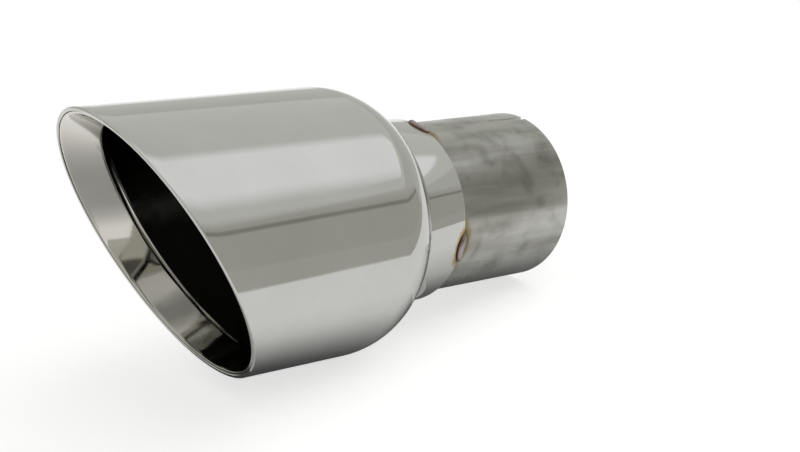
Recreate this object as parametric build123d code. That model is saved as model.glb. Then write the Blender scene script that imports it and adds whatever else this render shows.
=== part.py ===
"""Slash-cut, double-wall exhaust tip with a slotted slip-on inlet. All lengths are in millimetres.

The tip is drawn in its own frame first: +X runs along the axis towards the inlet, the inlet's
end is at X = 0 and the long side of the slash cut is at +Z. Each piece is then laid on a level
surface, where the shoulder and the inlet's lower rim touch it, with its origin kept at the
middle of the inlet's end. The mouth is at -X.
"""

from build123d import *
import os
from math import asin, atan2, cos, degrees, hypot, radians, sin, sqrt, tan

# Inlet sleeve, made to slip over a 2.5 inch tailpipe
PIPE_DIAMETER = 63.5
SLIP_CLEARANCE = 0.1
SLEEVE_WALL = 1.4
SLEEVE_EXPOSED = 63.4
SLEEVE_INSERT = 22.0
SLOT_COUNT = 2
SLOT_WIDTH = 2.4
SLOT_LENGTH = 21.0
SLOT_TURN = -4.0

# Outer shell, spun in one piece from the mouth to the neck
SHELL_WALL = 1.5
BODY_DIAMETER = 101.6
SHORT_SIDE_LENGTH = 42.0
SHOULDER_RADIUS = 27.0
NECK_FILLET = 2.5
NECK_LENGTH = 19.4
NECK_GAP = 0.95
SLASH_ANGLE = 33.3

# Rounded rim of the slash cut
RIM_OUTER_ROUND = 0.7
RIM_INNER_ROUND = 0.4

# Mouth liner, the polished inner wall that funnels from the rim to a rolled throat
LINER_WALL = 1.2
LINER_SEAM = 0.2
LINER_RECESS = 0.6
LINER_EDGE = 0.7
LINER_TAPER = 20.5
LINER_DEPTH = 19.9
THROAT_ROLL = 4.0

# Tack welds between the neck's edge and the sleeve
WELD_COUNT = 4
WELD_TURN = -1.5
WELD_AROUND = 12.0
WELD_ALONG = 6.4
WELD_PROUD = 1.1
WELD_ROUND = 1.6
WELD_SETBACK = 0.9
WELD_SEAT = 0.02

# How the tip lies: turned about its axis, away from the long side up
LIE_ROLL = 10.7

# Room by which a cutter passes the surface that it cuts
OVERCUT = 5.0

bore_radius = PIPE_DIAMETER / 2 + SLIP_CLEARANCE
sleeve_radius = bore_radius + SLEEVE_WALL
sleeve_length = SLEEVE_EXPOSED + SLEEVE_INSERT
neck_radius = sleeve_radius + NECK_GAP + SHELL_WALL
body_radius = BODY_DIAMETER / 2
shell_bore = body_radius - SHELL_WALL
liner_outside = shell_bore - LINER_SEAM

# The neck, the concave fillet and the shoulder's arc meet tangentially
shoulder_centre_r = body_radius - SHOULDER_RADIUS
fillet_centre_r = neck_radius + NECK_FILLET
fillet_rise = fillet_centre_r - shoulder_centre_r
fillet_reach = sqrt((SHOULDER_RADIUS + NECK_FILLET) ** 2 - fillet_rise**2)
fillet_angle = degrees(atan2(fillet_rise, fillet_reach))
neck_front_x = -(SLEEVE_EXPOSED + NECK_LENGTH)
shoulder_x = neck_front_x - fillet_reach

# The slash plane crosses the axis here, and its long side ends at the longest reach
slash_x = shoulder_x - SHORT_SIDE_LENGTH - body_radius * tan(radians(SLASH_ANGLE))
longest_reach_x = slash_x - body_radius * tan(radians(SLASH_ANGLE))

# Tilt at which one level line touches the shoulder's arc and the sleeve's rim
rim_to_shoulder = hypot(shoulder_x, shoulder_centre_r - sleeve_radius)
lie_tilt = degrees(
    asin(SHOULDER_RADIUS / rim_to_shoulder) + atan2(shoulder_centre_r - sleeve_radius, -shoulder_x)
)


def slash_plane(depth: float) -> Plane:
    """Return the plane of the slash cut, moved inwards along the axis, facing out of the mouth."""
    lean = radians(SLASH_ANGLE)
    return Plane(
        origin=(slash_x + depth, 0, 0),
        x_dir=(-sin(lean), 0, cos(lean)),
        z_dir=(-cos(lean), 0, -sin(lean)),
    )


def rod(radius: float, front_x: float, rear_x: float) -> Part:
    """Return a round bar on the tip's axis between two stations."""
    middle = (front_x + rear_x) / 2
    return Pos(middle, 0, 0) * Rot(0, 90, 0) * Cylinder(radius, rear_x - front_x)


def behind(solid: Part, depth: float) -> Part:
    """Keep what lies further in than the slash plane at the given depth."""
    return split(solid, bisect_by=slash_plane(depth), keep=Keep.BOTTOM)


def in_front(solid: Part, depth: float) -> Part:
    """Keep what lies further out than the slash plane at the given depth."""
    return split(solid, bisect_by=slash_plane(depth), keep=Keep.TOP)


def oblique_cone(front_radius: float, rear_radius: float, front: float, rear: float) -> Part:
    """Return a round taper on the axis whose two ends are parallel to the slash plane."""
    stretch = 1 / cos(radians(SLASH_ANGLE))
    ends = [
        slash_plane(depth) * Ellipse(radius * stretch, radius)
        for depth, radius in ((front, front_radius), (rear, rear_radius))
    ]
    return loft(ends, ruled=True)


def edges_on_slash(solid: Part, depth: float) -> list[Edge]:
    """Return the closed edges that lie in the slash plane at a depth, the shortest first."""
    plane = slash_plane(depth)
    flat = [
        edge
        for edge in solid.edges()
        if all(abs(plane.to_local_coords(edge @ place).Z) < 1e-4 for place in (0.1, 0.4, 0.8))
    ]
    return sorted(flat, key=lambda edge: edge.length)


def spun_outline(inset: float) -> list[Edge]:
    """Return one side of the spun wall, from ahead of the mouth to the neck's edge.

    The inner side is the outer one moved inwards, so its arcs keep the same centres.
    """
    front_x = longest_reach_x - OVERCUT
    shoulder_centre = (shoulder_x, shoulder_centre_r)
    fillet_centre = (neck_front_x, fillet_centre_r)
    shoulder = CenterArc(shoulder_centre, SHOULDER_RADIUS - inset, 90, fillet_angle - 90)
    fillet_arc = CenterArc(fillet_centre, NECK_FILLET + inset, 180 + fillet_angle, 90 - fillet_angle)
    barrel = Line((front_x, body_radius - inset), (shoulder_x, body_radius - inset))
    neck = Line((neck_front_x, neck_radius - inset), (-SLEEVE_EXPOSED, neck_radius - inset))
    return [barrel, shoulder, fillet_arc, neck]


def make_outer_shell() -> Part:
    """Return the barrel, shoulder and neck as one spun wall with a slash-cut, rounded rim."""
    outer, inner = spun_outline(0), spun_outline(SHELL_WALL)
    neck_edge = Line(outer[-1] @ 1, inner[-1] @ 1)
    blank_edge = Line(inner[0] @ 0, outer[0] @ 0)
    wall = revolve(make_face(outer + [neck_edge] + inner + [blank_edge]), Axis.X)

    shell = fillet(edges_on_slash(behind(wall, 0), 0)[-1], RIM_OUTER_ROUND)
    return fillet(edges_on_slash(shell, 0)[0], RIM_INNER_ROUND)


def make_mouth_liner() -> Part:
    """Return the tapered inner wall, rolled over at the throat and back to the shell."""
    front, rear = -OVERCUT, LINER_DEPTH + OVERCUT
    slope = tan(radians(LINER_TAPER))
    front_radius = liner_outside - LINER_EDGE + (LINER_RECESS - front) * slope
    rear_radius = front_radius - (rear - front) * slope
    opening = oblique_cone(front_radius, rear_radius, front, rear)
    wall_back = oblique_cone(front_radius + LINER_WALL, rear_radius + LINER_WALL, front, rear)
    bar = rod(liner_outside, longest_reach_x, shoulder_x)

    block = behind(in_front(bar, LINER_DEPTH), LINER_RECESS) - opening
    block = fillet(edges_on_slash(block, LINER_DEPTH)[0], THROAT_ROLL)

    hollow_rear = LINER_DEPTH - LINER_WALL
    wide_bar = rod(body_radius + OVERCUT, longest_reach_x - OVERCUT, shoulder_x)
    hollow = behind(in_front(wide_bar, hollow_rear), -OVERCUT) - wall_back
    hollow = fillet(edges_on_slash(hollow, hollow_rear)[0], THROAT_ROLL - LINER_WALL)
    return block - hollow


def make_inlet_sleeve() -> Part:
    """Return the slip-on inlet tube with its tightening slots, each with a round end."""
    tube = rod(sleeve_radius, -sleeve_length, 0) - rod(bore_radius, -sleeve_length, 0)
    end_x = SLOT_WIDTH / 2 - SLOT_LENGTH
    height = SLEEVE_WALL + 2 * OVERCUT
    straight = Pos((end_x + OVERCUT) / 2, 0, 0) * Box(OVERCUT - end_x, SLOT_WIDTH, height)
    slot = straight + Pos(end_x, 0, 0) * Cylinder(SLOT_WIDTH / 2, height)
    for index in range(SLOT_COUNT):
        turn = SLOT_TURN + index * 360 / SLOT_COUNT
        tube -= Rot(turn, 0, 0) * Pos(0, 0, bore_radius + SLEEVE_WALL / 2) * slot
    return tube


def make_tack_welds() -> Part:
    """Return the oval weld pools that bridge from the neck's edge to the sleeve."""
    front_x = WELD_SETBACK - SLEEVE_EXPOSED - WELD_ALONG
    edge_x = WELD_SEAT - SLEEVE_EXPOSED
    neck = rod(neck_radius + WELD_SEAT, front_x, edge_x)
    neck -= rod(neck_radius - SHELL_WALL - WELD_SEAT, front_x, edge_x)
    sleeve = rod(sleeve_radius + WELD_SEAT, front_x, 0)

    pool = extrude(Ellipse(WELD_ALONG / 2, WELD_AROUND / 2), neck_radius + WELD_PROUD)
    pool = fillet(pool.edges().sort_by(Axis.Z)[-1], WELD_ROUND)
    beads = []
    for index in range(WELD_COUNT):
        turn = WELD_TURN + index * 360 / WELD_COUNT
        placed = Rot(turn, 0, 0) * Pos(WELD_SETBACK - SLEEVE_EXPOSED, 0, 0) * pool
        beads.append((placed - neck - sleeve).solids().sort_by(SortBy.VOLUME)[-1])
    return Part() + beads


def main() -> None:
    """Make each piece, lay it down and write it to its own file."""
    os.makedirs("parts", exist_ok=True)
    pieces = {
        "outer_shell": make_outer_shell(),
        "mouth_liner": make_mouth_liner(),
        "inlet_sleeve": make_inlet_sleeve(),
        "tack_welds": make_tack_welds(),
    }
    lie_down = Rot(0, lie_tilt, 0) * Rot(LIE_ROLL, 0, 0)
    for name, piece in pieces.items():
        laid = lie_down * piece
        laid.label = name
        export_step(laid, f"parts/{name}.step")
    print(f"lies {lie_tilt:.3f} degrees from level, shoulder starts at x = {shoulder_x:.2f}")


main()
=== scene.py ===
"""Looks of a polished, slash-cut exhaust tip with a slotted slip-on inlet.

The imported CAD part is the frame. Its four nodes are faceted, and a mirror finish shows every
facet, so each one is replaced by a smooth mesh of the same sizes with its sharp edges broken. A
piece is drawn in the tip's own frame, where +X runs along the axis towards the inlet and the long
side of the mouth is at +Z, and is then laid down in the part's frame. Sizes are in millimetres
until a piece is laid.
"""

import logging
from dataclasses import dataclass
from enum import Enum
from math import asin, atan2, cos, degrees, hypot, pi, radians, sin, sqrt, tan

import bmesh
import bpy
from mathutils import Euler, Matrix, Vector

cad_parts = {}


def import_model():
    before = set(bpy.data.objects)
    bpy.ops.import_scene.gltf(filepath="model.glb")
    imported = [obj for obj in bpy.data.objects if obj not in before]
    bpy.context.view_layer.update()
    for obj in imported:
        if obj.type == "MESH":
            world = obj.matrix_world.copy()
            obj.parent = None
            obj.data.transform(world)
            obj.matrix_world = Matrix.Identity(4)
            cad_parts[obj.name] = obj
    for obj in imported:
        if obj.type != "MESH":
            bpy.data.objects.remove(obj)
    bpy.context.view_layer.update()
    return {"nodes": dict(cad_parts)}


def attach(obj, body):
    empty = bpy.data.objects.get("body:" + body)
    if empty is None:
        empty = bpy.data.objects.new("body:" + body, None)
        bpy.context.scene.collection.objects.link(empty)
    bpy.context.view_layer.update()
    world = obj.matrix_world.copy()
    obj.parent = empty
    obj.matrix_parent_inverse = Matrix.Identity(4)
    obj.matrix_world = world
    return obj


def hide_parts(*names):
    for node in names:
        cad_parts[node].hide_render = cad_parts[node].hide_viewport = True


LOG = logging.getLogger("exhaust_tip")
METRES_PER_MM = 0.001

# Runs around a full turn, the angle above which an edge is sharp, and the gap that is merged
ROUND_STEPS = 288
CREASE = 40.0
MERGE_GAP = 0.0005

# How far off an arc a point may lie, in millimetres, and past its ends, as a share and in radians
ARC_GAP = 0.003
END_SLACK = 0.01
WRAP_SLACK = 0.1


class Slot(Enum):
    """The record's material slots."""

    SHELL = "polished_shell"
    LINER = "polished_liner"
    TUBE = "mill_finish_tube"
    WELD = "weld_bead"


@dataclass(frozen=True)
class TipSizes:
    """Sizes that several pieces share, in millimetres and degrees."""

    body_radius: float = 50.8
    shell_wall: float = 1.5
    sleeve_radius: float = 33.25
    sleeve_wall: float = 1.4
    sleeve_exposed: float = 63.4
    sleeve_insert: float = 22.0
    neck_gap: float = 0.95
    neck_length: float = 19.4
    neck_fillet: float = 2.5
    shoulder_radius: float = 27.0
    short_side: float = 42.0
    slash_angle: float = 33.3
    roll: float = 10.7

    @property
    def neck_radius(self) -> float:
        """Return the neck's outside radius."""
        return self.sleeve_radius + self.neck_gap + self.shell_wall

    @property
    def shoulder_centre_r(self) -> float:
        """Return the radius at which the shoulder's arc is centred."""
        return self.body_radius - self.shoulder_radius

    @property
    def fillet_angle(self) -> float:
        """Return the angle at which the shoulder meets the neck's fillet, in degrees."""
        rise = self.neck_radius + self.neck_fillet - self.shoulder_centre_r
        reach = sqrt((self.shoulder_radius + self.neck_fillet) ** 2 - rise**2)
        return degrees(atan2(rise, reach))

    @property
    def neck_front_x(self) -> float:
        """Return the station at which the neck's straight part begins."""
        return -(self.sleeve_exposed + self.neck_length)

    @property
    def shoulder_x(self) -> float:
        """Return the station at which the barrel turns into the shoulder."""
        reach = (self.shoulder_radius + self.neck_fillet) * cos(radians(self.fillet_angle))
        return self.neck_front_x - reach

    @property
    def slash_x(self) -> float:
        """Return the station at which the slash plane crosses the axis."""
        return self.shoulder_x - self.short_side - self.body_radius * self.slash_slope

    @property
    def slash_slope(self) -> float:
        """Return how far the slash plane moves along the axis for each step across it."""
        return tan(radians(self.slash_angle))

    @property
    def tilt(self) -> float:
        """Return the axis' lean when shoulder and inlet rim touch a level surface, in degrees."""
        drop = self.shoulder_centre_r - self.sleeve_radius
        span = hypot(self.shoulder_x, drop)
        return degrees(asin(self.shoulder_radius / span) + atan2(drop, -self.shoulder_x))

    @property
    def lying_turn(self) -> Euler:
        """Return the turn from the tip's own frame to the part's frame."""
        return Euler((radians(self.roll), radians(self.tilt), 0.0), "XYZ")

    @property
    def laid(self) -> Matrix:
        """Return the matrix from the tip's own frame in millimetres to the part's in metres."""
        return self.lying_turn.to_matrix().to_4x4() @ Matrix.Scale(METRES_PER_MM, 4)


SIZES = TipSizes()


def colour(hex_code: str) -> tuple[float, float, float, float]:
    """Turn an sRGB hex value into linear RGBA.

    Args:
        hex_code: Six hex digits after a hash sign.

    Returns:
        The linear red, green, blue and an alpha of 1.
    """
    shares = [int(hex_code[place : place + 2], 16) / 255 for place in (1, 3, 5)]
    linear = [s / 12.92 if s <= 0.04045 else ((s + 0.055) / 1.055) ** 2.4 for s in shares]
    return (linear[0], linear[1], linear[2], 1.0)


def add_node(
    tree: bpy.types.NodeTree, kind: str, inputs: dict | None = None, **settings: object
) -> bpy.types.Node:
    """Add one node to a tree.

    Args:
        tree: The node tree that gets the node.
        kind: The node's type name.
        inputs: For each input's name or place, a value or the socket that feeds it.
        **settings: The node's own settings.

    Returns:
        The new node.
    """
    node = tree.nodes.new(kind)
    for name, value in settings.items():
        setattr(node, name, value)
    for key, value in (inputs or {}).items():
        if isinstance(value, bpy.types.NodeSocket):
            tree.links.new(value, node.inputs[key])
        else:
            node.inputs[key].default_value = value
    return node


def set_ramp(ramp: bpy.types.Node, stops: list[tuple[float, str]]) -> None:
    """Give a colour ramp its stops.

    Args:
        ramp: The ramp node.
        stops: Each stop's place from 0 to 1 and its sRGB hex value.
    """
    elements = ramp.color_ramp.elements
    while len(elements) > 1:
        elements.remove(elements[-1])
    elements[0].position = stops[0][0]
    elements[0].color = colour(stops[0][1])
    for place, hex_code in stops[1:]:
        elements.new(place).color = colour(hex_code)


def start_material(name: str) -> bpy.types.Material:
    """Return a new material with an empty node tree."""
    material = bpy.data.materials.new(name)
    material.use_nodes = True
    material.node_tree.nodes.clear()
    return material


def own_frame(tree: bpy.types.NodeTree) -> bpy.types.NodeSocket:
    """Return a point's place in the tip's own frame, in metres."""
    place = add_node(tree, "ShaderNodeTexCoord").outputs["Object"]
    turned = add_node(
        tree,
        "ShaderNodeMapping",
        {"Vector": place, "Rotation": SIZES.lying_turn},
        vector_type="TEXTURE",
    )
    return turned.outputs[0]


def seen_plainly(tree: bpy.types.NodeTree) -> bpy.types.NodeSocket:
    """Return 1 where the camera, a reflection or a refraction looks, and otherwise 0."""
    ray = add_node(tree, "ShaderNodeLightPath")
    seen = add_node(
        tree,
        "ShaderNodeMath",
        {0: ray.outputs["Is Camera Ray"], 1: ray.outputs["Is Glossy Ray"]},
        operation="MAXIMUM",
    )
    either = add_node(
        tree,
        "ShaderNodeMath",
        {0: seen.outputs[0], 1: ray.outputs["Is Transmission Ray"]},
        operation="MAXIMUM",
    )
    return either.outputs[0]


def outwardness(face: bmesh.types.BMFace) -> float:
    """Return how far a face of a ring looks away from the axis, from -1 to 1."""
    middle = face.calc_center_median()
    return (face.normal.y * middle.y + face.normal.z * middle.z) / middle.yz.length


@dataclass(frozen=True)
class WeldTint:
    """The straw and brown colours that a tack weld's heat leaves on the steel around it."""

    station: float = -62.5
    half_along: float = 3.4
    half_around: float = 6.4
    turn: float = -1.5

    def reach(self, tree: bpy.types.NodeTree) -> bpy.types.NodeSocket:
        """Measure how far a point lies from the nearest of the four weld pools.

        Args:
            tree: The material's node tree.

        Returns:
            A value that is 1 at a pool's edge and grows with the distance.
        """
        place = add_node(tree, "ShaderNodeTexCoord").outputs["Object"]
        turned = SIZES.lying_turn
        turned.x += radians(self.turn)
        own = add_node(
            tree, "ShaderNodeMapping", {"Vector": place, "Rotation": turned}, vector_type="TEXTURE"
        )
        axes = add_node(tree, "ShaderNodeSeparateXYZ", {0: own.outputs[0]})
        sides = [
            add_node(tree, "ShaderNodeMath", {0: axes.outputs[name]}, operation="ABSOLUTE")
            for name in ("Y", "Z")
        ]
        across = add_node(
            tree,
            "ShaderNodeMath",
            {0: sides[0].outputs[0], 1: sides[1].outputs[0]},
            operation="MINIMUM",
        )
        along = add_node(
            tree,
            "ShaderNodeMath",
            {0: axes.outputs["X"], 1: self.station * METRES_PER_MM},
            operation="SUBTRACT",
        )
        ends = add_node(
            tree,
            "ShaderNodeCombineXYZ",
            {"X": along.outputs[0], "Y": across.outputs[0], "Z": 0.0},
        )
        shares = (
            1 / (self.half_along * METRES_PER_MM),
            1 / (self.half_around * METRES_PER_MM),
            1.0,
        )
        scaled = add_node(
            tree, "ShaderNodeVectorMath", {0: ends.outputs[0], 1: shares}, operation="MULTIPLY"
        )
        ragged = add_node(
            tree, "ShaderNodeTexNoise", {"Vector": place, "Scale": 260.0, "Detail": 3.0}
        )
        length = add_node(
            tree, "ShaderNodeVectorMath", {0: scaled.outputs[0]}, operation="LENGTH"
        )
        wander = add_node(
            tree,
            "ShaderNodeMath",
            {0: ragged.outputs["Fac"], 1: 0.5, 2: length.outputs["Value"]},
            operation="MULTIPLY_ADD",
        )
        return wander.outputs[0]

    def spread(
        self, tree: bpy.types.NodeTree, first: float, last: float
    ) -> bpy.types.NodeSocket:
        """Turn the reach into a place on a colour ramp.

        Args:
            tree: The material's node tree.
            first: The reach at the ramp's start.
            last: The reach at its end.

        Returns:
            The place on the ramp, from 0 to 1.
        """
        scaled = add_node(
            tree,
            "ShaderNodeMapRange",
            {"Value": self.reach(tree), "From Min": first, "From Max": last},
        )
        return scaled.outputs["Result"]


@dataclass(frozen=True)
class BuffedStainless:
    """Stainless steel, spun and buffed to a mirror.

    It reflects a studio sharply, about half as bright as it is. Buffing leaves a faint cloudiness
    and lets straight reflections waver by a hair.
    """

    name: str = "stainless, spun and buffed to a mirror"
    steel: str = "#bfbfbd"
    haze: str = "#b2b2ae"
    clear_roughness: float = 0.035
    hazy_roughness: float = 0.085
    tinted: bool = True

    def make(self) -> bpy.types.Material:
        """Build the material."""
        material = start_material(self.name)
        tree = material.node_tree
        place = add_node(tree, "ShaderNodeTexCoord").outputs["Object"]
        # Buffing haze in patches of about 30 mm
        haze = add_node(
            tree,
            "ShaderNodeTexNoise",
            {"Vector": place, "Scale": 34.0, "Detail": 4.0, "Roughness": 0.6},
        )
        base = add_node(
            tree,
            "ShaderNodeMix",
            {0: haze.outputs["Fac"], 6: colour(self.haze), 7: colour(self.steel)},
            data_type="RGBA",
        )
        tone = base.outputs[2]
        rough = add_node(
            tree,
            "ShaderNodeMapRange",
            {
                "Value": haze.outputs["Fac"],
                "From Min": 0.35,
                "From Max": 0.7,
                "To Min": self.clear_roughness,
                "To Max": self.hazy_roughness,
            },
        )
        # Waviness of the spun wall, about 45 mm long and a few hundredths of a millimetre high
        wave = add_node(
            tree, "ShaderNodeTexNoise", {"Vector": place, "Scale": 22.0, "Detail": 1.0}
        )
        waver = add_node(
            tree,
            "ShaderNodeBump",
            {"Strength": 0.35, "Distance": 0.0004, "Height": wave.outputs["Fac"]},
        )
        if self.tinted:
            halo = WeldTint().spread(tree, 1.15, 1.85)
            tint = add_node(tree, "ShaderNodeValToRGB", {"Fac": halo})
            set_ramp(
                tint,
                [
                    (0.0, "#7c6654"),
                    (0.16, "#9a8258"),
                    (0.34, "#c8b078"),
                    (0.6, "#e4dcc0"),
                    (0.9, "#ffffff"),
                ],
            )
            mixed = add_node(
                tree,
                "ShaderNodeMix",
                {0: 1.0, 6: tone, 7: tint.outputs["Color"]},
                data_type="RGBA",
                blend_type="MULTIPLY",
            )
            tone = mixed.outputs[2]
        shader = add_node(
            tree,
            "ShaderNodeBsdfPrincipled",
            {
                "Base Color": tone,
                "Metallic": 1.0,
                "Roughness": rough.outputs["Result"],
                "Normal": waver.outputs["Normal"],
            },
        )
        add_node(tree, "ShaderNodeOutputMaterial", {"Surface": shader.outputs[0]})
        return material


@dataclass(frozen=True)
class BareInside:
    """Bare steel inside the body, smooth and pale above, rough and dark below.

    The pale tone above is painted light and the dark tone below is painted shade. Both parts are a
    guess: the tones are chosen so that the inside goes dark seen from the mouth.
    """

    name: str = "stainless, bare inside and stained dark below"

    def make(self) -> bpy.types.Material:
        """Build the material."""
        material = start_material(self.name)
        tree = material.node_tree
        place = add_node(tree, "ShaderNodeTexCoord").outputs["Object"]
        height = add_node(tree, "ShaderNodeSeparateXYZ", {0: own_frame(tree)}).outputs["Z"]
        # Noise in grains of about 8 mm, which makes the painted shade's edge wander
        shade_edge_noise = add_node(
            tree, "ShaderNodeTexNoise", {"Vector": place, "Scale": 120.0, "Detail": 5.0}
        )
        # The edge between the painted shade below and the painted light above lies about 10 mm
        # below the axis and wanders by about 3 mm
        edge = add_node(
            tree,
            "ShaderNodeMath",
            {0: shade_edge_noise.outputs["Fac"], 1: 0.01, 2: height},
            operation="MULTIPLY_ADD",
        )
        painted_light_share = add_node(
            tree,
            "ShaderNodeMapRange",
            {"Value": edge.outputs[0], "From Min": -0.016, "From Max": 0.008},
            interpolation_type="SMOOTHSTEP",
        )
        # Painted shade and painted light: dark tones below the edge and pale ones above it
        tone = add_node(tree, "ShaderNodeValToRGB", {"Fac": painted_light_share.outputs["Result"]})
        set_ramp(tone, [(0.0, "#1c1c1a"), (0.5, "#6a6a66"), (1.0, "#c4c4c0")])
        rough = add_node(
            tree,
            "ShaderNodeMapRange",
            {"Value": painted_light_share.outputs["Result"], "To Min": 0.5, "To Max": 0.07},
        )
        # Waviness left by drawing, about 15 mm long and a tenth of a millimetre high
        wave = add_node(
            tree, "ShaderNodeTexNoise", {"Vector": place, "Scale": 66.0, "Detail": 1.0}
        )
        waver = add_node(
            tree,
            "ShaderNodeBump",
            {"Strength": 0.6, "Distance": 0.0008, "Height": wave.outputs["Fac"]},
        )
        shader = add_node(
            tree,
            "ShaderNodeBsdfPrincipled",
            {
                "Base Color": tone.outputs["Color"],
                "Metallic": 1.0,
                "Roughness": rough.outputs["Result"],
                "Normal": waver.outputs["Normal"],
            },
        )
        add_node(tree, "ShaderNodeOutputMaterial", {"Surface": shader.outputs[0]})
        return material


@dataclass(frozen=True)
class MillFinishTube:
    """Drawn stainless tube as the mill leaves it.

    Satin grey, with soft bands along the tube from drawing, faint smudges from handling and a
    brown and straw halo at each tack weld.
    """

    name: str = "stainless tube, mill finish"

    def make(self) -> bpy.types.Material:
        """Build the material."""
        material = start_material(self.name)
        tree = material.node_tree
        place = add_node(tree, "ShaderNodeTexCoord").outputs["Object"]
        own = own_frame(tree)
        # Drawing bands: 6 to 15 mm wide around the tube and much longer along it
        stretched = add_node(
            tree, "ShaderNodeMapping", {"Vector": own, "Scale": (0.1, 1.0, 1.0)}
        )
        bands = add_node(
            tree,
            "ShaderNodeTexNoise",
            {"Vector": stretched.outputs[0], "Scale": 95.0, "Detail": 3.0, "Roughness": 0.5},
        )
        # Fine drawing lines, shown at 0.5 mm where the real ones are a tenth of that
        drawn = add_node(
            tree, "ShaderNodeMapping", {"Vector": own, "Scale": (0.02, 1.0, 1.0)}
        )
        lines = add_node(
            tree,
            "ShaderNodeTexNoise",
            {"Vector": drawn.outputs[0], "Scale": 1900.0, "Detail": 2.0},
        )
        smudges = add_node(
            tree,
            "ShaderNodeTexNoise",
            {"Vector": place, "Scale": 90.0, "Detail": 4.0, "Distortion": 0.3},
        )
        tone = add_node(tree, "ShaderNodeValToRGB", {"Fac": bands.outputs["Fac"]})
        set_ramp(tone, [(0.34, "#86867f"), (0.5, "#a8a8a2"), (0.62, "#b8b8b4")])
        dirt = add_node(tree, "ShaderNodeValToRGB", {"Fac": smudges.outputs["Fac"]})
        set_ramp(dirt, [(0.3, "#ccccc9"), (0.48, "#f0f0ef"), (1.0, "#ffffff")])
        halo = WeldTint().spread(tree, 1.15, 2.3)
        tint = add_node(tree, "ShaderNodeValToRGB", {"Fac": halo})
        set_ramp(
            tint,
            [
                (0.0, "#8a7768"),
                (0.16, "#a08a66"),
                (0.34, "#c6b07c"),
                (0.56, "#ded2ae"),
                (0.9, "#ffffff"),
            ],
        )
        dirty = add_node(
            tree,
            "ShaderNodeMix",
            {0: 1.0, 6: tone.outputs["Color"], 7: dirt.outputs["Color"]},
            data_type="RGBA",
            blend_type="MULTIPLY",
        )
        tinted = add_node(
            tree,
            "ShaderNodeMix",
            {0: 1.0, 6: dirty.outputs[2], 7: tint.outputs["Color"]},
            data_type="RGBA",
            blend_type="MULTIPLY",
        )
        rough = add_node(
            tree,
            "ShaderNodeMapRange",
            {
                "Value": smudges.outputs["Fac"],
                "From Min": 0.3,
                "From Max": 0.7,
                "To Min": 0.36,
                "To Max": 0.24,
            },
        )
        scored = add_node(
            tree,
            "ShaderNodeBump",
            {"Strength": 0.25, "Distance": 0.00002, "Height": lines.outputs["Fac"]},
        )
        shader = add_node(
            tree,
            "ShaderNodeBsdfPrincipled",
            {
                "Base Color": tinted.outputs[2],
                "Metallic": 1.0,
                "Roughness": rough.outputs["Result"],
                "Normal": scored.outputs["Normal"],
            },
        )
        add_node(tree, "ShaderNodeOutputMaterial", {"Surface": shader.outputs[0]})
        return material


@dataclass(frozen=True)
class WeldPool:
    """Weld metal left as it froze: a purple-grey oxide skin with a brown rim."""

    name: str = "weld metal, oxidised as it froze"

    def make(self) -> bpy.types.Material:
        """Build the material."""
        material = start_material(self.name)
        tree = material.node_tree
        place = add_node(tree, "ShaderNodeTexCoord").outputs["Object"]
        spread = WeldTint().spread(tree, 0.2, 1.3)
        skin = add_node(tree, "ShaderNodeValToRGB", {"Fac": spread})
        set_ramp(
            skin,
            [
                (0.0, "#a0979b"),
                (0.5, "#aba2a6"),
                (0.78, "#9a8e90"),
                (0.92, "#75625a"),
                (1.0, "#5c483c"),
            ],
        )
        grain = add_node(
            tree, "ShaderNodeTexNoise", {"Vector": place, "Scale": 900.0, "Detail": 3.0}
        )
        ripple = add_node(
            tree,
            "ShaderNodeBump",
            {"Strength": 0.4, "Distance": 0.0001, "Height": grain.outputs["Fac"]},
        )
        shader = add_node(
            tree,
            "ShaderNodeBsdfPrincipled",
            {
                "Base Color": skin.outputs["Color"],
                "Metallic": 1.0,
                "Roughness": 0.34,
                "Normal": ripple.outputs["Normal"],
            },
        )
        add_node(tree, "ShaderNodeOutputMaterial", {"Surface": shader.outputs[0]})
        return material


@dataclass(frozen=True)
class Roll:
    """A rounding in a square section, which a leaning section draws out or tightens."""

    centre: Vector
    first: Vector
    angle: float

    @staticmethod
    def bearing(arm: Vector) -> float:
        """Return an arm's angle from outwards to rearwards, in radians."""
        return atan2(arm.x, arm.y)

    def share(self, point: Vector) -> float | None:
        """Find a point of the square section on the rounding.

        Args:
            point: Its station and radius.

        Returns:
            Its place from 0 at the rounding's first point to 1 at the last, or None off it.
        """
        arm = point - self.centre
        if abs(arm.length - self.first.length) > ARC_GAP:
            return None
        turned = (self.bearing(arm) - self.bearing(self.first)) * (1 if self.angle > 0 else -1)
        share = ((turned + WRAP_SLACK) % (2 * pi) - WRAP_SLACK) / abs(self.angle)
        return share if -END_SLACK < share < 1 + END_SLACK else None

    def leaned(self, share: float, slope: float) -> Vector:
        """Find a point of the same rounding between the same two runs after they lean.

        Args:
            share: The point's place on the rounding.
            slope: How far the section slides forwards for each step outwards.

        Returns:
            The point's station and radius in the leaning section.
        """
        radius = self.first.length
        half = self.bearing(self.first) + self.angle / 2
        middle = Vector((sin(half), cos(half)))
        corner = self.centre + middle * radius / cos(self.angle / 2)
        end = self.bearing(self.first) + self.angle
        arms = []
        for arm in (self.first, Vector((sin(end), cos(end))) * radius):
            run = self.centre + arm - corner
            arms.append(Vector((run.x - slope * run.y, run.y)).normalized())
        corner.x -= slope * corner.y
        opening = arms[0].angle(arms[1]) / 2
        centre = corner + (arms[0] + arms[1]).normalized() * radius / sin(opening)
        feet = [corner + arm * radius / tan(opening) - centre for arm in arms]
        sweep = pi - 2 * opening
        near, far = sin((1 - share) * sweep), sin(share * sweep)
        return centre + (feet[0] * near + feet[1] * far) / sin(sweep)


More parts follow.
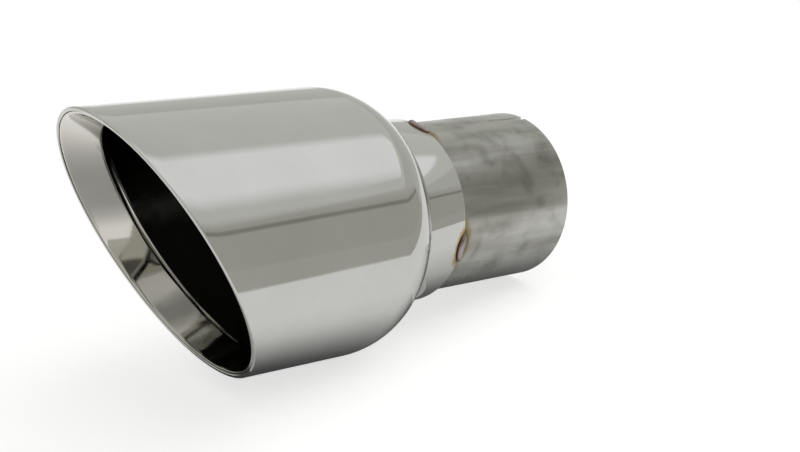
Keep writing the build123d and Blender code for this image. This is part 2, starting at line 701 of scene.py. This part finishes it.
class SectionPen:
    """Draws a half section with mesh operators and turns it about the tip's axis."""

    def __init__(self, x: float, r: float) -> None:
        """Start the section at a station and a radius."""
        self.mesh = bmesh.new()
        self.start = self.mesh.verts.new((x, 0.0, r))
        self.point = self.start
        self.rolls: list[Roll] = []

    def line_to(self, x: float, r: float) -> None:
        """Draw a straight run to a station and a radius."""
        made = bmesh.ops.extrude_vert_indiv(self.mesh, verts=[self.point])
        self.point = made["verts"][0]
        self.point.co = (x, 0.0, r)

    def turn(self, x: float, r: float, angle: float, steps: int) -> None:
        """Draw an arc.

        Args:
            x: The arc centre's station.
            r: The arc centre's radius.
            angle: How far it turns in degrees, positive from outwards to rearwards.
            steps: The number of runs in it.
        """
        centre = Vector((x, r))
        self.rolls.append(Roll(centre, self.point.co.xz - centre, radians(angle)))
        made = bmesh.ops.spin(
            self.mesh,
            geom=[self.point],
            cent=(x, 0.0, r),
            axis=(0.0, 1.0, 0.0),
            dvec=(0.0, 0.0, 0.0),
            angle=radians(angle),
            steps=steps,
        )
        self.point = next(v for v in made["geom_last"] if isinstance(v, bmesh.types.BMVert))

    def revolve(self, steps: int) -> bmesh.types.BMesh:
        """Close the section and turn it once round the axis.

        Args:
            steps: The number of runs around.

        Returns:
            The closed ring's mesh.
        """
        bmesh.ops.contextual_create(self.mesh, geom=[self.point, self.start])
        bmesh.ops.spin(
            self.mesh,
            geom=self.mesh.verts[:] + self.mesh.edges[:],
            cent=(0.0, 0.0, 0.0),
            axis=(1.0, 0.0, 0.0),
            dvec=(0.0, 0.0, 0.0),
            angle=2 * pi,
            steps=steps,
            use_merge=True,
        )
        bmesh.ops.remove_doubles(self.mesh, verts=self.mesh.verts, dist=MERGE_GAP)
        bmesh.ops.recalc_face_normals(self.mesh, faces=self.mesh.faces)
        return self.mesh


def make_object(
    name: str,
    mesh: bmesh.types.BMesh,
    materials: list[bpy.types.Material],
    crease: float = CREASE,
) -> bpy.types.Object:
    """Lay a mesh down in the part's frame and make it an object.

    Args:
        name: The piece's name.
        mesh: The piece in the tip's own frame, in millimetres. It is freed.
        materials: Its materials, in the order of the faces' numbers.
        crease: The angle in degrees above which an edge is shaded sharp.

    Returns:
        The new object, at the origin.
    """
    mesh.transform(SIZES.laid)
    for face in mesh.faces:
        face.smooth = True
    data = bpy.data.meshes.new(name)
    mesh.to_mesh(data)
    mesh.free()
    data.set_sharp_from_angle(angle=radians(crease))
    for material in materials:
        data.materials.append(material)
    piece = bpy.data.objects.new(name, data)
    bpy.context.scene.collection.objects.link(piece)
    return piece


def lean_to_slash(
    mesh: bmesh.types.BMesh, kept: float, released: float, rolls: list[Roll], widest: float
) -> None:
    """Slide the mouth's end of a ring along the axis, so that it follows the slash plane.

    Args:
        mesh: A ring in the tip's own frame whose mouth end is square.
        kept: The station up to which points slide the whole way.
        released: The station from which on they stay.
        rolls: The ring's roundings, of which those at the mouth keep their true radius.
        widest: The radius that no point may pass.
    """
    at_mouth = [roll for roll in rolls if roll.centre.x < kept]
    for vert in mesh.verts:
        place = Vector((vert.co.x, vert.co.yz.length))
        slope = SIZES.slash_slope * vert.co.z / place.y
        found = [(roll, roll.share(place)) for roll in at_mouth]
        found = [(roll, share) for roll, share in found if share is not None]
        if found:
            settled = found[0][0].leaned(found[0][1], slope)
            reach = min(settled.y, widest) / place.y
            vert.co = (settled.x, vert.co.y * reach, vert.co.z * reach)
            continue
        share = 1.0
        if vert.co.x > kept:
            share = max(0.0, (released - vert.co.x) / (released - kept))
        vert.co.x -= share * SIZES.slash_slope * vert.co.z


@dataclass(frozen=True)
class OuterShell:
    """Barrel, shoulder and neck in one spun wall, with a rounded rim at the slash-cut mouth."""

    outer_round: float = 0.7
    inner_round: float = 0.4
    edge_break: float = 0.35
    sheared_depth: float = 6.0
    polished_depth: float = 1.2

    def build(self) -> bpy.types.Object:
        """Make the shell."""
        size = SIZES
        radius, bore = size.body_radius, size.body_radius - size.shell_wall
        front, bend = size.slash_x, 90 - size.fillet_angle
        neck, neck_bore = size.neck_radius, size.neck_radius - size.shell_wall
        rear = -size.sleeve_exposed
        fillet_r = neck + size.neck_fillet

        pen = SectionPen(front, bore + self.inner_round)
        pen.line_to(front, radius - self.outer_round)
        pen.turn(front + self.outer_round, radius - self.outer_round, 90, 8)
        pen.line_to(front + self.sheared_depth, radius)
        for share in (0.25, 0.5, 0.75, 1.0):
            run = size.shoulder_x - front - self.sheared_depth
            pen.line_to(front + self.sheared_depth + share * run, radius)
        pen.turn(size.shoulder_x, size.shoulder_centre_r, bend, 40)
        pen.turn(size.neck_front_x, fillet_r, -bend, 10)
        pen.line_to(rear - self.edge_break, neck)
        pen.turn(rear - self.edge_break, neck - self.edge_break, 90, 4)
        pen.line_to(rear, neck_bore)
        pen.line_to(size.neck_front_x, neck_bore)
        pen.turn(size.neck_front_x, fillet_r, bend, 10)
        pen.turn(size.shoulder_x, size.shoulder_centre_r, -bend, 30)
        pen.line_to(front + self.sheared_depth, bore)
        pen.line_to(front + self.polished_depth, bore)
        pen.line_to(front + self.inner_round, bore)
        pen.turn(front + self.inner_round, bore + self.inner_round, 90, 6)
        ring = pen.revolve(ROUND_STEPS)
        self.mark_inside(ring)
        lean_to_slash(ring, front + self.sheared_depth, size.shoulder_x, pen.rolls, radius)
        return make_object(
            "shell_polished", ring, [BuffedStainless().make(), BareInside().make()]
        )

    def mark_inside(self, ring: bmesh.types.BMesh) -> None:
        """Give the wall's inner faces behind the rim the unpolished finish."""
        edge = SIZES.slash_x + self.polished_depth
        for face in ring.faces:
            if face.calc_center_median().x > edge and outwardness(face) < -0.1:
                face.material_index = 1


@dataclass(frozen=True)
class MouthLiner:
    """The polished inner wall that funnels from the rim to the throat and is rolled over there."""

    wall: float = 1.2
    edge: float = 0.7
    outside: float = 49.1
    recess: float = 0.6
    depth: float = 19.9
    taper: float = 20.5
    roll: float = 4.0
    edge_break: float = 0.2
    buffed_roll: float = 0.55

    def funnel_radius(self, x: float) -> float:
        """Return the funnel's inner radius at a station."""
        return self.outside - self.edge - (x - SIZES.slash_x - self.recess) * tan(
            radians(self.taper)
        )

    def build(self) -> bpy.types.Object:
        """Make the liner."""
        front, rear = SIZES.slash_x + self.recess, SIZES.slash_x + self.depth
        lean, steep = radians(self.taper), 90 - self.taper
        lip_x, throat_x = front + self.edge_break, rear - self.roll
        lip_r = self.funnel_radius(lip_x) + self.edge_break / cos(lean)
        roll_r = self.funnel_radius(throat_x) + self.roll / cos(lean)
        back_roll = self.roll - self.wall
        back_r = self.funnel_radius(throat_x) + self.wall + back_roll / cos(lean)

        pen = SectionPen(front, lip_r)
        pen.turn(lip_x, lip_r, -steep, 4)
        for x in (front + 1.5, front + 4.0, front + 7.0, front + 9.5):
            pen.line_to(x, self.funnel_radius(x))
        pen.line_to(throat_x - self.roll * sin(lean), roll_r - self.roll * cos(lean))
        pen.turn(throat_x, roll_r, steep - 180, 24)
        pen.line_to(rear, self.outside)
        pen.line_to(rear - self.wall, self.outside)
        pen.line_to(rear - self.wall, back_r)
        pen.turn(throat_x, back_r, 180 - steep, 12)
        pen.line_to(front + (self.wall - self.edge) / tan(lean), self.outside)
        pen.line_to(front, self.outside)
        ring = pen.revolve(ROUND_STEPS)
        self.mark_inside(ring, throat_x + self.buffed_roll * self.roll)
        lean_to_slash(ring, rear + 1.0, rear + 2.0, pen.rolls, self.outside)
        buffed = BuffedStainless(
            "stainless liner, pressed and buffed", "#cdcbc5", "#bab8b0", 0.05, 0.12, False
        )
        return make_object("liner_polished", ring, [buffed.make(), BareInside().make()])

    def mark_inside(self, ring: bmesh.types.BMesh, edge: float) -> None:
        """Give the roll's rear and the wall's back the unpolished finish."""
        for face in ring.faces:
            if face.calc_center_median().x > edge or outwardness(face) > 0.2:
                face.material_index = 1


@dataclass(frozen=True)
class InletSleeve:
    """The slip-on tube with two slots, whose end closes on the pipe."""

    edge_break: float = 0.3
    bright_end: float = 1.0
    slot_width: float = 2.4
    slot_length: float = 21.0
    slot_turn: float = -4.0
    slot_count: int = 2
    overcut: float = 5.0

    def build(self) -> bpy.types.Object:
        """Make the sleeve and cut its slots."""
        size, ease = SIZES, self.edge_break
        outside, bore = size.sleeve_radius, size.sleeve_radius - size.sleeve_wall
        front = -(size.sleeve_exposed + size.sleeve_insert)
        pen = SectionPen(front, bore)
        pen.line_to(front, outside)
        for share in (0.25, 0.5, 0.75):
            pen.line_to(front * (1 - share), outside)
        pen.line_to(-ease, outside)
        pen.turn(-ease, outside - ease, 90, 4)
        pen.line_to(0.0, bore + ease)
        pen.turn(-ease, bore + ease, 90, 4)
        tube = pen.revolve(ROUND_STEPS)
        for face in tube.faces:
            if face.calc_center_median().x < -self.bright_end and outwardness(face) < -0.5:
                face.material_index = 1
        sleeve = make_object(
            "sleeve_mill_finish", tube, [MillFinishTube().make(), BareInside().make()]
        )
        for index in range(self.slot_count):
            self.cut(sleeve, self.slot_turn + index * 360 / self.slot_count)
        return sleeve

    def cut(self, sleeve: bpy.types.Object, turn: float) -> None:
        """Cut one slot, with a round end, through the tube's wall.

        Args:
            sleeve: The tube.
            turn: The slot's angle from the mouth's long side, in degrees.
        """
        outline = bmesh.new()
        half = self.slot_width / 2
        bmesh.ops.create_circle(outline, cap_ends=True, segments=32, radius=half)
        for vert in outline.verts:
            vert.co.x += half - self.slot_length if vert.co.x < 0.001 else self.overcut
            vert.co.z = SIZES.sleeve_radius - SIZES.sleeve_wall - self.overcut
        raised = bmesh.ops.extrude_face_region(outline, geom=outline.faces[:])
        tops = [v for v in raised["geom"] if isinstance(v, bmesh.types.BMVert)]
        bmesh.ops.translate(outline, verts=tops, vec=(0.0, 0.0, 2.4 * self.overcut))
        bmesh.ops.recalc_face_normals(outline, faces=outline.faces)
        bmesh.ops.rotate(
            outline,
            verts=outline.verts,
            cent=(0.0, 0.0, 0.0),
            matrix=Matrix.Rotation(radians(turn), 3, "X"),
        )
        cutter = make_object("slot_cutter", outline, [])
        modifier = sleeve.modifiers.new("slot", "BOOLEAN")
        modifier.operation = "DIFFERENCE"
        modifier.solver = "EXACT"
        modifier.object = cutter
        bpy.context.view_layer.update()
        graph = bpy.context.evaluated_depsgraph_get()
        cut = bpy.data.meshes.new_from_object(sleeve.evaluated_get(graph))
        sleeve.modifiers.clear()
        sleeve.data = cut
        cut.name = sleeve.name
        cut.set_sharp_from_angle(angle=radians(CREASE))
        bpy.data.objects.remove(cutter)


@dataclass(frozen=True)
class TackWelds:
    """Four oval weld pools on the neck's edge, each with a raised rim and a sunken middle."""

    count: int = 4
    turn: float = -1.5
    half_along: float = 3.2
    half_around: float = 6.0
    station: float = -62.5
    proud: float = 1.0
    dome: float = 0.8
    rim_height: float = 0.34
    rim_place: float = 0.66
    rim_spread: float = 0.34
    root: float = 3.2
    step_slope: float = 0.75
    step_drop: float = 2.2

    def build(self) -> list[bpy.types.Object]:
        """Make the pools."""
        finish = WeldPool().make()
        return [self.pool(index, finish) for index in range(self.count)]

    def pool(self, index: int, finish: bpy.types.Material) -> bpy.types.Object:
        """Make one pool.

        Args:
            index: Its place around the neck.
            finish: Its material.

        Returns:
            The pool's object.
        """
        bead = bmesh.new()
        bmesh.ops.create_uvsphere(bead, u_segments=48, v_segments=32, radius=1.0)
        for vert in bead.verts:
            out = vert.co.xy.length
            ridge = max(0.0, 1 - abs(out - self.rim_place) / self.rim_spread)
            rim = self.rim_height * pow(ridge, 1.5)
            if vert.co.z > 0:
                vert.co.z = self.dome * sqrt(max(0.0, 1 - out**6)) + rim
        bmesh.ops.scale(bead, verts=bead.verts, vec=(self.half_along, self.half_around, 1.0))
        for vert in bead.verts:
            across = vert.co.y / SIZES.neck_radius
            step = max(0.0, vert.co.x + self.station + SIZES.sleeve_exposed)
            fall = min(self.step_drop, self.step_slope * step)
            top = vert.co.z * (self.proud if vert.co.z > 0 else self.root)
            reach = SIZES.neck_radius + top - fall
            vert.co = (vert.co.x + self.station, reach * sin(across), reach * cos(across))
        bmesh.ops.rotate(
            bead,
            verts=bead.verts,
            cent=(0.0, 0.0, 0.0),
            matrix=Matrix.Rotation(radians(self.turn + index * 360 / self.count), 3, "X"),
        )
        return make_object(f"weld_pool_{index + 1}", bead, [finish], 60.0)


class Facing(Enum):
    """The way that a reflection card stands, as the turn that brings a level card there."""

    LEVEL = (0.0, 0.0, 0.0)
    ACROSS_Y = (90.0, 0.0, 0.0)
    ACROSS_X = (90.0, 0.0, 90.0)


@dataclass(frozen=True)
class ReflectionCard:
    """A plain card that only reflections see. Sizes are in metres.

    Its second side runs upwards on a standing card and towards +Y on a level one. The two ends
    of that side can fade out over a width of their own. A cover below 1 lets some of what lies
    behind the card through.
    """

    name: str
    centre: tuple[float, float, float]
    size: tuple[float, float]
    facing: Facing
    tone: str
    strength: float = 1.0
    fades: tuple[float, float] = (0.0, 0.0)
    cover: float = 1.0

    def build(self) -> bpy.types.Object:
        """Make the card."""
        sheet = bmesh.new()
        bmesh.ops.create_grid(sheet, x_segments=1, y_segments=1, size=0.5)
        bmesh.ops.scale(sheet, verts=sheet.verts, vec=(*self.size, 1.0))
        data = bpy.data.meshes.new(self.name)
        sheet.to_mesh(data)
        sheet.free()
        card = bpy.data.objects.new(self.name, data)
        card.location = self.centre
        card.rotation_euler = [radians(angle) for angle in self.facing.value]
        bpy.context.scene.collection.objects.link(card)
        data.materials.append(self.make_glow())
        card.visible_camera = False
        card.visible_diffuse = False
        card.visible_shadow = False
        card.visible_transmission = False
        card.visible_volume_scatter = False
        return card

    def make_glow(self) -> bpy.types.Material:
        """Build the card's material, clear where it fades."""
        material = start_material(self.name)
        tree = material.node_tree
        glow = add_node(
            tree, "ShaderNodeEmission", {"Color": colour(self.tone), "Strength": self.strength}
        )
        clear = add_node(tree, "ShaderNodeBsdfTransparent")
        seen = add_node(
            tree,
            "ShaderNodeMath",
            {0: self.edge(tree), 1: self.cover},
            operation="MULTIPLY",
        )
        mixed = add_node(
            tree,
            "ShaderNodeMixShader",
            {0: seen.outputs[0], 1: clear.outputs[0], 2: glow.outputs[0]},
        )
        add_node(tree, "ShaderNodeOutputMaterial", {"Surface": mixed.outputs[0]})
        return material

    def edge(self, tree: bpy.types.NodeTree) -> bpy.types.NodeSocket:
        """Return how much of the card is there, from 0 at a faded edge to 1 inside it."""
        place = add_node(tree, "ShaderNodeTexCoord").outputs["Object"]
        side = add_node(tree, "ShaderNodeSeparateXYZ", {0: place}).outputs["Y"]
        half = self.size[1] / 2
        ends = [
            self.fade(tree, side, -half, -half + self.fades[0]),
            self.fade(tree, side, half, half - self.fades[1]),
        ]
        both = add_node(
            tree, "ShaderNodeMath", {0: ends[0], 1: ends[1]}, operation="MULTIPLY"
        )
        return both.outputs[0]

    @staticmethod
    def fade(
        tree: bpy.types.NodeTree, place: bpy.types.NodeSocket, gone: float, full: float
    ) -> bpy.types.NodeSocket:
        """Ease a value from 0 to 1 between two places.

        Args:
            tree: The material's node tree.
            place: The place along the card's side.
            gone: The place at which the card is clear.
            full: The place from which on it is whole.

        Returns:
            The eased value.
        """
        if gone == full:
            full = gone * 0.9999
        eased = add_node(
            tree,
            "ShaderNodeMapRange",
            {"Value": place, "From Min": gone, "From Max": full},
            interpolation_type="SMOOTHSTEP",
        )
        return eased.outputs["Result"]


@dataclass
class Studio:
    """Plain pale floor, soft light and the grey cards that the polished steel reflects."""

    floor_z: float = -0.0328062

    def build(self) -> None:
        """Make the floor, the world, the lamps and the cards."""
        self.make_floor()
        self.make_world()
        self.make_lamps()
        for card in self.plan_cards():
            card.build()

    def plan_cards(self) -> list[ReflectionCard]:
        """Return the cards, from the ceiling down to the floor.

        The front wall, its line, the left wall's dark part, the floor beyond and the softbox's
        reach were placed by tracing reflections from the photo's camera. The three black ones
        stand for the tip's contact shadow, which the floor's glow would wash out.
        """
        level, across, end = Facing.LEVEL, Facing.ACROSS_Y, Facing.ACROSS_X
        return [
            ReflectionCard("card_ceiling", (0, 0, 1.05), (7, 7), level, "#e8e9e4"),
            ReflectionCard(
                "card_softbox", (0.6, -0.7, 1.0), (2.4, 1.54), level, "#fdfdff", 1.22, (0.7, 0.2)
            ),
            ReflectionCard("card_back_wall", (0, 2.0, 0.5), (7, 1.1), across, "#d4d4cf"),
            ReflectionCard(
                "card_front_wall", (0.45, -0.33, 0.09), (1.6, 0.246), across, "#c4c4bb", 1.0,
                (0.0, 0.07),
            ),
            ReflectionCard(
                "card_wall_line", (0.45, -0.329, 0.132), (1.6, 0.034), across, "#9d9d96", 1.0,
                (0.014, 0.014),
            ),
            ReflectionCard("card_right_wall", (2.4, 0, 0.5), (7, 1.1), end, "#d8d8d3"),
            ReflectionCard("card_left_wall", (-2.0, 0, 0.5), (7, 1.1), end, "#eeeeea"),
            ReflectionCard(
                "card_left_dark", (-1.98, 1.7, 0.34), (1.3, 0.76), end, "#6a6a66", 1.0,
                (0.0, 0.08),
            ),
            ReflectionCard(
                "card_floor_beyond", (0.4, -0.239, self.floor_z + 0.0006), (2.4, 0.182), level,
                "#cacac2", 1.0, (0.0, 0.01),
            ),
            ReflectionCard(
                "card_shade_wide", (-0.09, 0, self.floor_z + 0.0004), (0.24, 0.16), level,
                "#000000", 0.0, (0.07, 0.07), 0.45,
            ),
            ReflectionCard(
                "card_shade_sleeve", (-0.022, 0, self.floor_z + 0.001), (0.07, 0.08), level,
                "#000000", 0.0, (0.03, 0.03), 0.7,
            ),
            ReflectionCard(
                "card_shade", (-0.1125, 0, self.floor_z + 0.0008), (0.105, 0.12), level, "#000000",
                0.0, (0.045, 0.045), 0.85,
            ),
        ]

    def make_floor(self) -> None:
        """Make the floor: white paper that keeps the tip's shadow."""
        sheet = bmesh.new()
        bmesh.ops.create_grid(sheet, x_segments=1, y_segments=1, size=20.0)
        bmesh.ops.translate(sheet, verts=sheet.verts, vec=(0.0, 0.0, self.floor_z))
        data = bpy.data.meshes.new("floor")
        sheet.to_mesh(data)
        sheet.free()
        floor = bpy.data.objects.new("floor", data)
        bpy.context.scene.collection.objects.link(floor)
        material = start_material("white background paper")
        tree = material.node_tree
        paper = add_node(
            tree, "ShaderNodeBsdfDiffuse", {"Color": colour("#fbfaf7"), "Roughness": 0.0}
        )
        glow = add_node(tree, "ShaderNodeEmission", {"Color": colour("#ffffff"), "Strength": 0.66})
        clear = add_node(tree, "ShaderNodeEmission", {"Color": colour("#000000"), "Strength": 0.0})
        chosen = add_node(
            tree,
            "ShaderNodeMixShader",
            {0: seen_plainly(tree), 1: clear.outputs[0], 2: glow.outputs[0]},
        )
        both = add_node(tree, "ShaderNodeAddShader", {0: paper.outputs[0], 1: chosen.outputs[0]})
        add_node(tree, "ShaderNodeOutputMaterial", {"Surface": both.outputs[0]})
        data.materials.append(material)

    def make_world(self) -> None:
        """Make the world: even light, and white where it is seen."""
        world = bpy.data.worlds.new("studio")
        bpy.context.scene.world = world
        world.use_nodes = True
        tree = world.node_tree
        tree.nodes.clear()
        fill = add_node(
            tree, "ShaderNodeBackground", {"Color": colour("#ffffff"), "Strength": 0.24}
        )
        white = add_node(
            tree, "ShaderNodeBackground", {"Color": colour("#ffffff"), "Strength": 1.0}
        )
        chosen = add_node(
            tree,
            "ShaderNodeMixShader",
            {0: seen_plainly(tree), 1: fill.outputs[0], 2: white.outputs[0]},
        )
        add_node(tree, "ShaderNodeOutputWorld", {"Surface": chosen.outputs[0]})

    def make_lamps(self) -> None:
        """Make the overhead soft light."""
        lamp = bpy.data.lights.new("overhead_soft_light", "AREA")
        lamp.shape = "RECTANGLE"
        lamp.size = 1.6
        lamp.size_y = 1.4
        lamp.energy = 4.6
        light = bpy.data.objects.new("overhead_soft_light", lamp)
        light.location = (0.3, -0.3, 1.2)
        light.visible_camera = False
        light.visible_glossy = False
        bpy.context.scene.collection.objects.link(light)


@dataclass(frozen=True)
class PhotoCamera:
    """The photograph's point of view, worked out from the tip's outline."""

    place: tuple[float, float, float] = (-0.55354, -0.49513, 0.28954)
    down: float = 22.303
    heading: float = -44.82
    lens: float = 86.693

    def build(self) -> None:
        """Make the camera and use it."""
        data = bpy.data.cameras.new("photo_camera")
        data.lens = self.lens
        data.sensor_width = 36.0
        data.clip_start = 0.02
        data.clip_end = 60.0
        camera = bpy.data.objects.new("photo_camera", data)
        camera.location = self.place
        camera.rotation_euler = (radians(90 - self.down), 0.0, radians(self.heading))
        bpy.context.scene.collection.objects.link(camera)
        bpy.context.scene.camera = camera


def main() -> None:
    """Build the tip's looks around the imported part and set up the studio."""
    logging.basicConfig(level=logging.INFO, format="%(name)s: %(message)s")
    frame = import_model()
    LOG.info("frame loaded with nodes %s", sorted(frame["nodes"]))
    bpy.context.scene.view_settings.view_transform = "Standard"
    PhotoCamera().build()

    shell = OuterShell().build()
    liner = MouthLiner().build()
    sleeve = InletSleeve().build()
    welds = TackWelds().build()
    plan = [
        (shell, "outer_shell", Slot.SHELL),
        (liner, "mouth_liner", Slot.LINER),
        (sleeve, "inlet_sleeve", Slot.TUBE),
    ] + [(weld, "tack_welds", Slot.WELD) for weld in welds]
    for piece, node, slot in plan:
        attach(piece, "root")
        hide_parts(node)
        LOG.info("%s stands for %s, %d faces", piece.name, node, len(piece.data.polygons))

    Studio().build()


if __name__ == "__main__":
    main()
